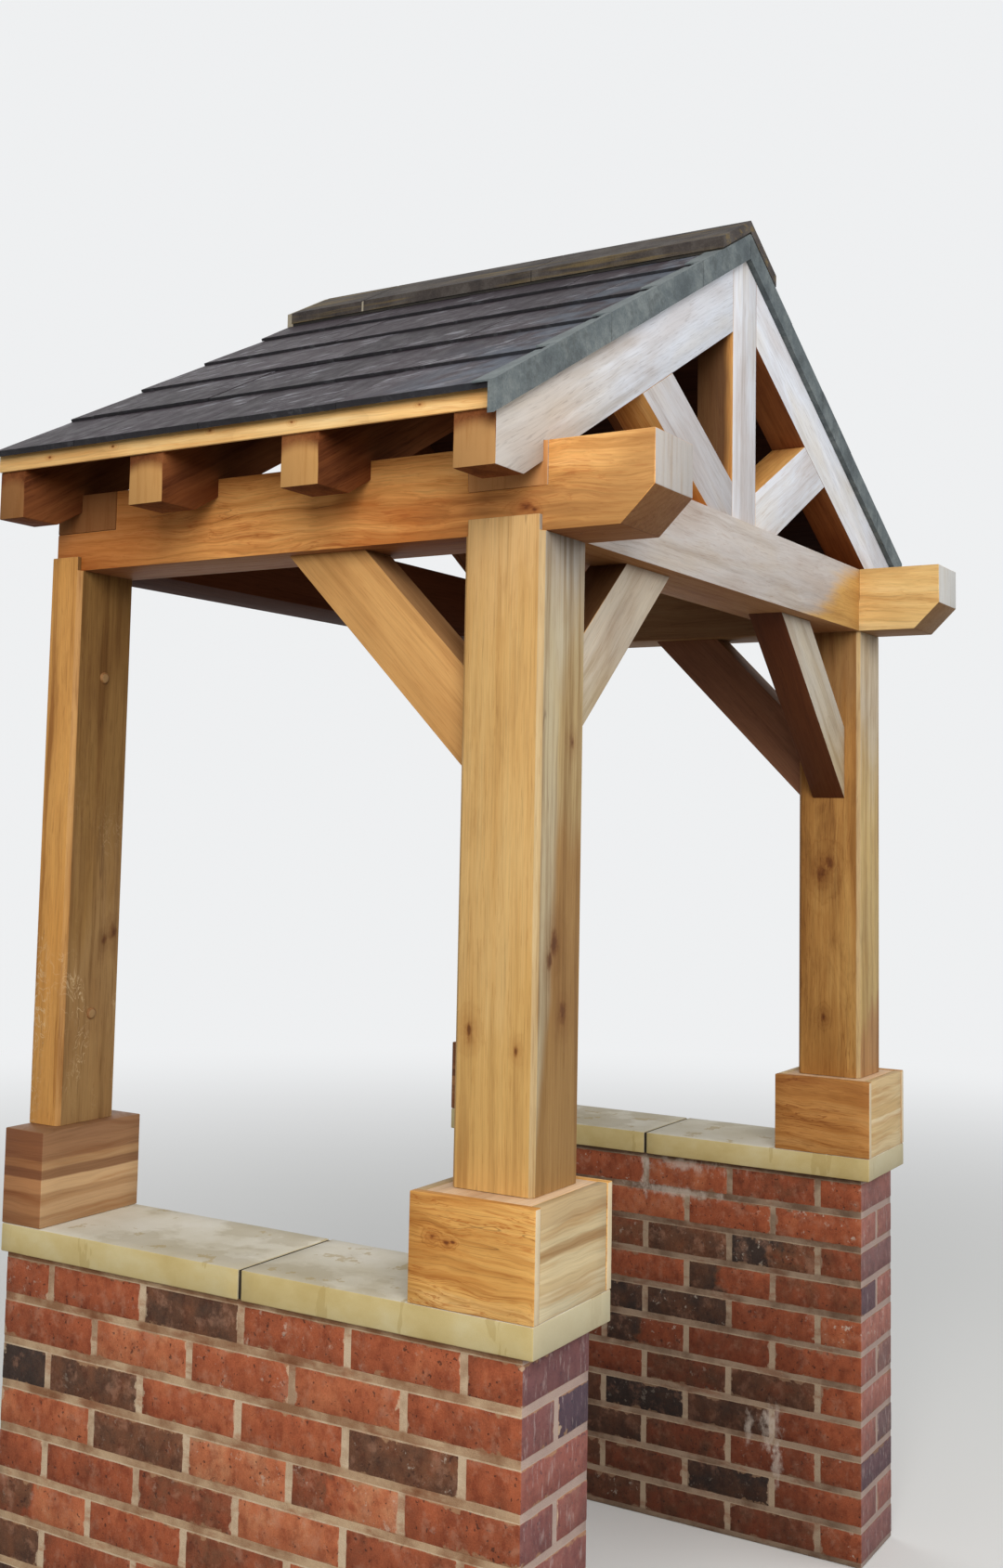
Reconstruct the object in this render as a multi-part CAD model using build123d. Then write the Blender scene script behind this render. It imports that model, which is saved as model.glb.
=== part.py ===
"""Porch canopy: an oak frame on two low brick walls, carrying a small tiled gable roof.

Millimetres. X runs across the porch and the canopy is the same on both sides of X = 0.
+Y points back at the house wall, +Z is up. Z = 0 is the ground. The origin is the middle of
the bounding box at ground level, so the house wall's face is half the depth behind it.
"""
import math
import os

from build123d import *

os.makedirs("parts", exist_ok=True)

# Driving sizes: low brick walls and coping stones
brick_course = 78.0
wall_courses = 11
wall_half_width = 873.0      # to the outer face of either low wall
wall_thick = 215.0
wall_length = 1127.0         # out from the house wall
coping_bed = 11.0
coping_thick = 52.0
coping_over_outer = 15.0
coping_over_inner = 22.0
coping_over_front = 26.0
coping_joint = 6.0

# Driving sizes: wooden base blocks and posts
block_width = 252.0
block_depth = 233.0
block_height = 174.0
wall_block_depth = 100.0
post_half_width = 830.0      # to the outer face of either post
post_width = 148.0
post_depth = 154.0
wall_post_depth = 75.0
post_length = 1059.0         # top of the block to the underside of the eaves plate
post_arris = 8.0
lip_height = 27.0            # outer lip of the post that laps up the plate

# Driving sizes: plates and tie beams
plate_set_in = 10.0          # plate's outer face, in from the post's outer face
plate_width = 140.0
plate_height = 150.0
canopy_depth = 1308.0        # house wall to the front end of the plates
end_chamfer = 60.0

# Driving sizes: lighter oak (rafters, king post, struts, braces)
light_width = 120.0
light_thick = 80.0
roof_pitch = 29.0
rafter_apex = 557.0          # top of the plate up to the point of the rafters
truss_set_back = 8.0         # front truss face, back from the tie beam's front face
tail_out = 148.0             # rafter tail, out from the plate's outer face
tail_soffit_drop = 69.0      # level underside of the tail, below the plate's top
wall_rafter_thick = 64.0
strut_foot = 74.0            # strut's upper edge on the king post, above the tie beam
brace_leg = 402.0            # both legs of the other three braces
flat_brace_run = 397.0       # the left tie brace stands a little flatter
flat_brace_drop = 361.0
ridge_board_thick = 30.0
ridge_board_height = 150.0

# Driving sizes: roof covering
sarking_thick = 18.0
sarking_end = 14.0           # sarking stops this far short of the rafter tail's end
eaves_board_thick = 20.0
eaves_board_height = 26.0    # above the foot of the sarking's edge
tile_top = 43.5              # tile noses above the rafters, square to the slope
tile_head_drop = 6.0         # each course dips this much towards its head
tile_edge = 11.0             # thickness seen at the eaves edge
tile_over = 23.0             # tiles past the rafter tail's end
tile_undercut = 75.0
courses_per_slope = 5
top_nose_out = 93.0          # the top course's nose, out from the ridge tile's edge
ridge_leg = 139.0
ridge_thick = 28.0
verge_thick = 12.0
verge_proud = 12.0           # verge face in front of the front truss
verge_gap = 1.0
verge_end = 4.0              # verge past the tiles at the eaves
verge_flange = 42.0
verge_flange_thick = 3.0

# Derived places
wall_y = canopy_depth / 2
front_y = -canopy_depth / 2
brick_top = brick_course * wall_courses
coping_z = brick_top + coping_bed
coping_top = coping_z + coping_thick
block_top = coping_top + block_height
plate_z = block_top + post_length
plate_top = plate_z + plate_height
wall_front = wall_y - wall_length
coping_front = wall_front - coping_over_front
coping_outer = wall_half_width + coping_over_outer
coping_inner = wall_half_width - wall_thick - coping_over_inner
coping_mid = (wall_y + coping_front) / 2
block_margin = (block_depth - post_depth) / 2
post_front = coping_front + block_margin
post_rear = post_front + post_depth
post_inner = post_half_width - post_width
plate_outer = post_half_width - plate_set_in
plate_inner = plate_outer - plate_width
plate_mid = (plate_outer + plate_inner) / 2
tie_front = post_front
tie_rear = post_rear
tie_mid = (tie_front + tie_rear) / 2
lap_z = plate_z + plate_height / 2
slope = math.tan(math.radians(roof_pitch))
secant = 1 / math.cos(math.radians(roof_pitch))
apex_z = plate_top + rafter_apex
tail_end = plate_outer + tail_out
tail_soffit = plate_top - tail_soffit_drop
truss_front = tie_front + truss_set_back
verge_front = truss_front - verge_proud
roof_front = verge_front + verge_thick + verge_gap
roof_rear = wall_y
tile_end = tail_end + tile_over
tile_gauge = (tile_end - (ridge_leg + top_nose_out)) / (courses_per_slope - 1)


def box(x0, x1, y0, y1, z0, z1):
    """A square-edged block between two corners."""
    size = (abs(x1 - x0), abs(y1 - y0), abs(z1 - z0))
    return Pos((x0 + x1) / 2, (y0 + y1) / 2, (z0 + z1) / 2) * Box(*size)


def across(points, y0, y1):
    """A shape drawn in X and Z, drawn out along Y from y0 to y1."""
    face = make_face(Polyline(*[(x, y0, z) for x, z in points], close=True))
    return extrude(face, amount=y1 - y0, dir=(0, 1, 0))


def along(points, x0, x1):
    """A shape drawn in Y and Z, drawn out along X from x0 to x1."""
    face = make_face(Polyline(*[(x0, y, z) for y, z in points], close=True))
    return extrude(face, amount=x1 - x0, dir=(1, 0, 0))


def roof_line(x, lift=0.0):
    """Height of the line that lies 'lift' above the rafters' tops, square to the slope."""
    return apex_z - slope * x + lift * secant


def save(name, solid, side=1):
    """Writes a piece; side -1 is the piece as drawn at +X turned over to -X."""
    if side < 0:
        solid = mirror(solid, about=Plane.YZ)
    export_step(solid, f"parts/{name}.step")


def post(y0, y1, arris_edges):
    """A post with its outer lip, at +X."""
    body = box(post_inner, post_half_width, y0, y1, block_top, plate_z)
    uprights = [e for e in body.edges().filter_by(Axis.Z) if arris_edges(e.center().Y)]
    body = chamfer(uprights, post_arris)
    lip = box(plate_outer, post_half_width, y0 + post_arris, y1 - post_arris * (y1 < wall_y),
              plate_z, plate_z + lip_height)
    return body + lip


def rafter(y0, y1, inner_x):
    """A rafter at +X, from inner_x out to its tail, notched over the plate."""
    depth = light_width
    under = lambda x: roof_line(x, -depth)
    seat_x = (apex_z - depth * secant - plate_top) / slope
    soffit_x = (apex_z - depth * secant - tail_soffit) / slope
    points = [
        (inner_x, roof_line(inner_x)),
        (tail_end, roof_line(tail_end)),
        (tail_end, tail_soffit),
        (soffit_x, tail_soffit),
        (plate_outer, under(plate_outer)),
        (plate_outer, plate_top),
        (seat_x, plate_top),
        (inner_x, under(inner_x)),
    ]
    return across(points, y0, y1)


def brace_shape(corner, direction, run, drop):
    """Outline of a straight brace under a beam, in (horizontal, Z)."""
    length = math.hypot(run, drop)
    top = plate_z
    return [
        (corner + direction * run, top),
        (corner + direction * (run - light_width * length / drop), top),
        (corner, top - drop + light_width * length / run),
        (corner, top - drop),
    ]


def course_line(first, lift):
    """The stepped line over the courses, from the eaves up, 'lift' above the rafters at each nose."""
    points = [(first, roof_line(first, lift))]
    for k in range(1, courses_per_slope):
        nose = tile_end - tile_gauge * k
        points.append((nose, roof_line(nose, lift - tile_head_drop)))
        points.append((nose, roof_line(nose, lift)))
    return points


def tile_slope():
    """The courses of one slope as one stepped piece, at +X."""
    under = tile_end - tile_undercut
    points = [(tile_end, roof_line(tile_end, tile_top - tile_edge))]
    points += course_line(tile_end, tile_top)
    points += [(0.0, roof_line(0.0, tile_top)), (0.0, roof_line(0.0, sarking_thick))]
    points += [(under, roof_line(under, sarking_thick)), (under, roof_line(under, tile_top - tile_edge))]
    return across(points, roof_front, roof_rear)


def verge():
    """The cloaking strip on the front edge of one slope, with its flange over the tiles, at +X.

    The strip's top runs straight, a little above the noses; the flange follows the courses.
    """
    end = tile_end + verge_end
    lift = tile_top + verge_flange_thick
    ridge_side = [
        (ridge_leg, roof_line(ridge_leg, lift)),
        (ridge_leg, roof_line(ridge_leg, tile_top)),
        (0.0, roof_line(0.0, tile_top)),
        (0.0, roof_line(0.0)),
    ]
    foot = (end, roof_line(end))
    strip = across([foot, (end, roof_line(end, lift))] + ridge_side, verge_front, verge_front + verge_thick)
    flange = across([foot] + course_line(end, lift) + ridge_side, verge_front, verge_front + verge_flange)
    below = [(tile_end, roof_line(tile_end, -60.0))]
    below += course_line(tile_end, tile_top)
    below += [(-1.0, roof_line(-1.0, tile_top)), (-1.0, roof_line(-1.0, -60.0))]
    return strip + (flange - across(below, verge_front - 1, verge_front + verge_flange + 1))


# Pieces that come as a left and right pair
for side, hand in ((-1, "left"), (1, "right")):
    wall = box(wall_half_width - wall_thick, wall_half_width, wall_front, wall_y, 0, coping_z)
    save(f"{hand}_dwarf_wall", wall, side)

    gap = coping_joint / 2
    for place, y0, y1 in (("front", coping_front, coping_mid - gap), ("rear", coping_mid + gap, wall_y)):
        stone = box(coping_inner, coping_outer, y0, y1, coping_z, coping_top)
        save(f"{hand}_{place}_coping", stone, side)

    block_outer = coping_outer
    block_inner = coping_outer - block_width
    front_block = box(block_inner, block_outer, coping_front, coping_front + block_depth,
                      coping_top, block_top)
    save(f"{hand}_front_base_block", front_block, side)
    rear_block = box(block_inner, block_outer, wall_y - wall_block_depth, wall_y, coping_top, block_top)
    save(f"{hand}_wall_base_block", rear_block, side)

    save(f"{hand}_front_post", post(post_front, post_rear, lambda y: True), side)
    rear_post = post(wall_y - wall_post_depth, wall_y, lambda y: y < wall_y - 1)
    save(f"{hand}_wall_post", rear_post, side)

    plate = along(
        [
            (front_y, plate_top),
            (front_y, plate_z + end_chamfer),
            (front_y + end_chamfer, plate_z),
            (wall_y, plate_z),
            (wall_y, plate_top),
        ],
        plate_inner,
        plate_outer,
    )
    for y0, y1 in ((tie_front, tie_rear), (wall_y - post_depth, wall_y + 1)):
        plate -= box(plate_inner - 1, plate_outer + 1, y0, y1, lap_z, plate_top + 1)
    save(f"{hand}_eaves_plate", plate, side)

    save(f"{hand}_front_rafter", rafter(truss_front, truss_front + light_thick, light_width / 2), side)
    rafter_run = (wall_y - wall_rafter_thick) - truss_front
    ridge_face = ridge_board_thick / 2
    for k, place in ((1, "second"), (2, "third")):
        y0 = truss_front + rafter_run * k / 3
        save(f"{hand}_{place}_rafter", rafter(y0, y0 + light_thick, ridge_face), side)
    save(f"{hand}_wall_rafter", rafter(wall_y - wall_rafter_thick, wall_y, ridge_face), side)

    # Strut from the foot of the king post up to the middle of the rafter
    king_side = light_width / 2
    strut_top = plate_top + strut_foot
    rise = light_width * secant
    under_apex = apex_z - rise
    upper_x = (under_apex - strut_top + slope * king_side) / (2 * slope)
    lower_x = (under_apex - strut_top + rise + slope * king_side) / (2 * slope)
    foot_x = king_side + (rise - strut_foot) / slope
    strut = across(
        [
            (king_side, strut_top),
            (upper_x, under_apex - slope * upper_x),
            (lower_x, under_apex - slope * lower_x),
            (foot_x, plate_top),
            (king_side, plate_top),
        ],
        truss_front,
        truss_front + light_thick,
    )
    save(f"{hand}_strut", strut, side)

    plate_brace = along(brace_shape(post_rear, 1, brace_leg, brace_leg), plate_mid - light_thick / 2,
                        plate_mid + light_thick / 2)
    save(f"{hand}_plate_brace", plate_brace, side)
    legs = (brace_leg, brace_leg) if side > 0 else (flat_brace_run, flat_brace_drop)
    tie_brace = across(brace_shape(post_inner, -1, *legs), tie_mid - light_thick / 2,
                       tie_mid + light_thick / 2)
    save(f"{hand}_tie_brace", tie_brace, side)

    deck_end = tail_end - sarking_end
    deck = across(
        [
            (0.0, roof_line(0.0)),
            (0.0, roof_line(0.0, sarking_thick)),
            (deck_end, roof_line(deck_end, sarking_thick)),
            (deck_end, roof_line(deck_end)),
        ],
        roof_front,
        roof_rear,
    )
    save(f"{hand}_sarking", deck, side)

    board_foot = roof_line(deck_end)
    eaves = across(
        [
            (deck_end, board_foot),
            (deck_end, board_foot + eaves_board_height),
            (deck_end + eaves_board_thick, board_foot + eaves_board_height),
            (deck_end + eaves_board_thick, roof_line(tail_end)),
            (tail_end, roof_line(tail_end)),
        ],
        roof_front,
        roof_rear,
    )
    save(f"{hand}_eaves_board", eaves, side)
    save(f"{hand}_roof_tiles", tile_slope(), side)
    save(f"{hand}_verge", verge(), side)


def tie(y0, y1):
    """A tie beam whose upper half runs out through both plates."""
    beam = box(-post_inner, post_inner, y0, y1, plate_z, lap_z)
    if plate_inner < post_inner:
        beam = box(-plate_inner, plate_inner, y0, y1, plate_z, lap_z)
    return beam + box(-plate_outer, plate_outer, y0, y1, lap_z, plate_top)


save("front_tie_beam", tie(tie_front, tie_rear))
save("wall_tie_beam", tie(wall_y - post_depth, wall_y))

half = light_width / 2
king = across(
    [
        (-half, plate_top),
        (half, plate_top),
        (half, roof_line(half)),
        (0.0, apex_z),
        (-half, roof_line(half)),
    ],
    truss_front,
    truss_front + light_thick,
)
save("king_post", king)

board_top = roof_line(ridge_board_thick / 2)
ridge = box(-ridge_board_thick / 2, ridge_board_thick / 2, truss_front + light_thick, wall_y,
            board_top - ridge_board_height, board_top)
save("ridge_board", ridge)

ridge_under = tile_top
ridge_cap = across(
    [
        (-ridge_leg, roof_line(ridge_leg, ridge_under)),
        (-ridge_leg, roof_line(ridge_leg, ridge_under + ridge_thick)),
        (0.0, roof_line(0.0, ridge_under + ridge_thick)),
        (ridge_leg, roof_line(ridge_leg, ridge_under + ridge_thick)),
        (ridge_leg, roof_line(ridge_leg, ridge_under)),
        (0.0, roof_line(0.0, ridge_under)),
    ],
    verge_front,
    wall_y,
)
save("ridge_tiles", ridge_cap)
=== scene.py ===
"""Porch canopy: the looks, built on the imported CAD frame. Metres, in the CAD's own frame."""
import math
import random

import bmesh
import bpy
from mathutils import Matrix, Vector, noise


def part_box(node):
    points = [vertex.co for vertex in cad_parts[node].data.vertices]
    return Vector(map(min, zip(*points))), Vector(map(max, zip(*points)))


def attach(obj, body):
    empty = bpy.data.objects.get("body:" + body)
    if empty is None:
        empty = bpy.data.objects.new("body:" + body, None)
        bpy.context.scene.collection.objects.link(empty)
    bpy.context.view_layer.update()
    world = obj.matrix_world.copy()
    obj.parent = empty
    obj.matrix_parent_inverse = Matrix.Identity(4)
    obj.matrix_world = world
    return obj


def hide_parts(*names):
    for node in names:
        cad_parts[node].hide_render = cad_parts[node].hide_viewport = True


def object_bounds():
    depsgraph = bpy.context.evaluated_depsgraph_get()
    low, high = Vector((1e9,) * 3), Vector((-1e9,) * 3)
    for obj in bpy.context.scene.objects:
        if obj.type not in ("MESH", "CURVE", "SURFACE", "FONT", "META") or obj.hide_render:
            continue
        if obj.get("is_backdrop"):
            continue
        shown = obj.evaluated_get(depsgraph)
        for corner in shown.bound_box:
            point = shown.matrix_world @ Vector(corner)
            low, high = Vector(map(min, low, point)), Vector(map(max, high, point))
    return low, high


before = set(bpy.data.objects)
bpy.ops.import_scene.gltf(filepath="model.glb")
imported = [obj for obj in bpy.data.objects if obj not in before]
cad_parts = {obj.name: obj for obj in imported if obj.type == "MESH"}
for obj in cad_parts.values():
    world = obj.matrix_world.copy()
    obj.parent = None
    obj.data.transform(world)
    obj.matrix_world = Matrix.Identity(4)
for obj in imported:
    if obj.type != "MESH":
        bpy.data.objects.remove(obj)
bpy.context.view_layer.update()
scene = bpy.context.scene
rng = random.Random(29)

WALL_Y = 0.654                           # the house wall's face
PITCH = math.radians(29.0)
SLOPE, SECANT = math.tan(PITCH), 1 / math.cos(PITCH)
# The low walls: outer and inner face from the middle, front end, one course, and the bricks in it
WALL_OUTER, WALL_INNER, WALL_FRONT = 0.873, 0.658, -0.473
WALL_MIDDLE, WALL_HALF = (WALL_OUTER + WALL_INNER) / 2, (WALL_OUTER - WALL_INNER) / 2
COURSE, COURSES, BED, PERP = 0.078, 11, 0.0107, 0.010
BRICK, HALF_BRICK, MORTAR_BACK = 0.215, 0.1025, 0.0013


def srgb(r, g, b):
    """A colour written as display values of 0 to 255, as the linear numbers that shaders take."""
    parts = [c / 255 for c in (r, g, b)]
    return tuple(c / 12.92 if c <= 0.04045 else ((c + 0.055) / 1.055) ** 2.4 for c in parts) + (1.0,)


class Value:
    """What a node puts out. Arithmetic with it adds nodes."""

    def __init__(self, nodes, socket):
        self.nodes, self.socket = nodes, socket

    def __add__(self, other):
        return self.nodes.math("ADD", self, other)

    def __sub__(self, other):
        return self.nodes.math("SUBTRACT", self, other)

    def __rsub__(self, other):
        return self.nodes.math("SUBTRACT", other, self)

    def __mul__(self, other):
        return self.nodes.math("MULTIPLY", self, other)

    def __abs__(self):
        return self.nodes.math("ABSOLUTE", self)


class Nodes:
    """A shader tree, emptied and filled anew.

    Three numbers for a colour are display values of 0 to 255. One or four are plain factors.
    """

    def __init__(self, tree):
        self.tree = tree
        tree.nodes.clear()

    def node(self, kind, **settings):
        made = self.tree.nodes.new("ShaderNode" + kind)
        for key, value in settings.items():
            setattr(made, key, value)
        return made

    def feed(self, socket, value):
        """Links the socket to what a node puts out, or sets it to a constant."""
        if isinstance(value, Value):
            self.tree.links.new(value.socket, socket)
        else:
            socket.default_value = srgb(*value) if socket.type == "RGBA" and len(value) == 3 else value

    def make(self, kind, inputs, out=0, **settings):
        """A node with its inputs fed, as the value of one of its outputs."""
        made = self.node(kind, **settings)
        for key, value in inputs.items():
            self.feed(made.inputs[key], value)
        return Value(self, made.outputs[out])

    def math(self, operation, a, b=0.0):
        return self.make("Math", {0: a, 1: b}, operation=operation)

    def most(self, a, b):
        return self.math("MAXIMUM", a, b)

    def vector(self, operation, a, b=(0, 0, 0)):
        out = "Value" if operation in ("LENGTH", "DOT_PRODUCT") else "Vector"
        return self.make("VectorMath", {0: a, 1: b}, out, operation=operation)

    def stretch(self, vector, by):
        return self.vector("MULTIPLY", vector, by)

    def noise(self, vector, scale, detail=2.0, roughness=0.5, distortion=0.0, out="Fac"):
        """Noise of so many patches to the metre, the same on each axis or one number for each."""
        if isinstance(scale, tuple):
            vector, scale = self.stretch(vector, scale), 1.0
        return self.make("TexNoise", {"Vector": vector, "Scale": scale, "Detail": detail,
                                      "Roughness": roughness, "Distortion": distortion}, out)

    def span(self, value, low, high, to_low=0.0, to_high=1.0, smooth=True):
        """The value between low and high as a number between to_low and to_high."""
        kind = "SMOOTHSTEP" if smooth else "LINEAR"
        return self.make("MapRange", {"Value": value, "From Min": low, "From Max": high,
                                      "To Min": to_low, "To Max": to_high}, "Result", interpolation_type=kind)

    def crease(self, value, width, deep=1.0):
        """Thin lines where a noise crosses its middle."""
        return self.span(abs(value - 0.5), 0.0, width, deep, 0.0)

    def ramp(self, value, *stops):
        made = self.node("ValToRGB")
        points = made.color_ramp.elements
        while len(points) < len(stops):
            points.new(0.5)
        for point, (position, colour) in zip(points, stops):
            if isinstance(colour, float):
                colour = (colour,) * 3 + (1.0,)
            point.position = position
            point.color = srgb(*colour) if len(colour) == 3 else colour
        self.feed(made.inputs["Fac"], value)
        return Value(self, made.outputs["Color"])

    def mix(self, factor, a, b, blend="MIX"):
        return self.make("Mix", {0: factor, 6: a, 7: b}, 2, data_type="RGBA", blend_type=blend)

    def tint(self, factor, a, b):
        """The colour a, multiplied by b as far as the factor says."""
        return self.mix(factor, a, b, "MULTIPLY")

    def toned(self, factor, colour, value, *stops):
        """The colour, multiplied by a ramp of the value as far as the factor says."""
        return self.tint(factor, colour, self.ramp(value, *stops))

    def seen(self):
        """1 for what the camera sees, also in a mirror or through glass, and 0 for the light's bounces."""
        camera, glossy, through = (self.make("LightPath", {}, f"Is {kind} Ray")
                                   for kind in ("Camera", "Glossy", "Transmission"))
        return self.most(self.most(camera, glossy), through)


class Shade(Nodes):
    """A material that ends in one Principled shader."""

    def __init__(self, name):
        self.material = bpy.data.materials.new(name)
        self.material.use_nodes = True
        super().__init__(self.material.node_tree)
        self.shader = self.node("BsdfPrincipled")
        self.output = self.node("OutputMaterial")
        self.lit = Value(self, self.shader.outputs[0])
        self.feed(self.output.inputs[0], self.lit)
        self.place = self.make("TexCoord", {}, "Object")
        self.normal = self.make("NewGeometry", {}, "Normal")

    def part(self, name):
        """A value that the mesh carries."""
        return self.make("Attribute", {}, "Fac", attribute_name=name)

    def axis(self, index, vector=None):
        return self.make("SeparateXYZ", {0: vector or self.place}, index)

    def facing(self, direction, low=0.6, high=0.9):
        """1 where the surface faces that way in the part's own frame."""
        return self.span(self.vector("DOT_PRODUCT", self.normal, direction), low, high)

    def finish(self, colour, roughness, height=None, strength=0.5, distance=0.001, shine=0.5):
        inputs = self.shader.inputs
        self.feed(inputs["Base Color"], colour)
        self.feed(inputs["Roughness"], roughness)
        inputs["Specular IOR Level"].default_value = shine
        if height:
            bump = {"Strength": strength, "Distance": distance, "Height": height}
            self.feed(inputs["Normal"], self.make("Bump", bump))
        return self.material


# Tones of the wood: darker streaks, body, lighter streaks
HONEY = ((196, 144, 80), (218, 171, 104), (228, 188, 126))
AMBER = ((194, 119, 56), (233, 165, 92), (244, 188, 118))
BLOND = ((196, 134, 64), (226, 172, 96), (238, 194, 128))
GOLD = ((186, 126, 62), (214, 160, 92), (226, 180, 116))
# The next two are darker cuts of the same oak, partly their own tone and partly painted shade, for pieces
# that stand in shade
UMBER = ((144, 96, 45), (176, 126, 66), (200, 154, 88))
BROWN = ((104, 68, 40), (136, 94, 56), (158, 116, 72))
# The next two are the oak darkened as painted shade, for what lies under the roof
SHADED = ((95, 53, 31), (126, 75, 43), (144, 92, 54))
DEEP_SHADE = ((48, 28, 23), (64, 39, 30), (80, 51, 37))
PINE = ((224, 168, 100), (246, 200, 132), (250, 216, 158))
CALM = ((186, 141, 82), (209, 165, 102), (219, 180, 118))
# Near white: painted sky reflection on sides that face the front
PALE_SHEEN = (217, 221, 229)
# Directions that sides face
LEFT, FRONT, BACK, UP, DOWN = (-1, 0, 0), (0, -1, 0), (0, 1, 0), (0, 0, 1), (0, 0, -1)
DIAGONAL = 0.7071
SIDES = ((-1, "left"), (1, "right"))


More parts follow.
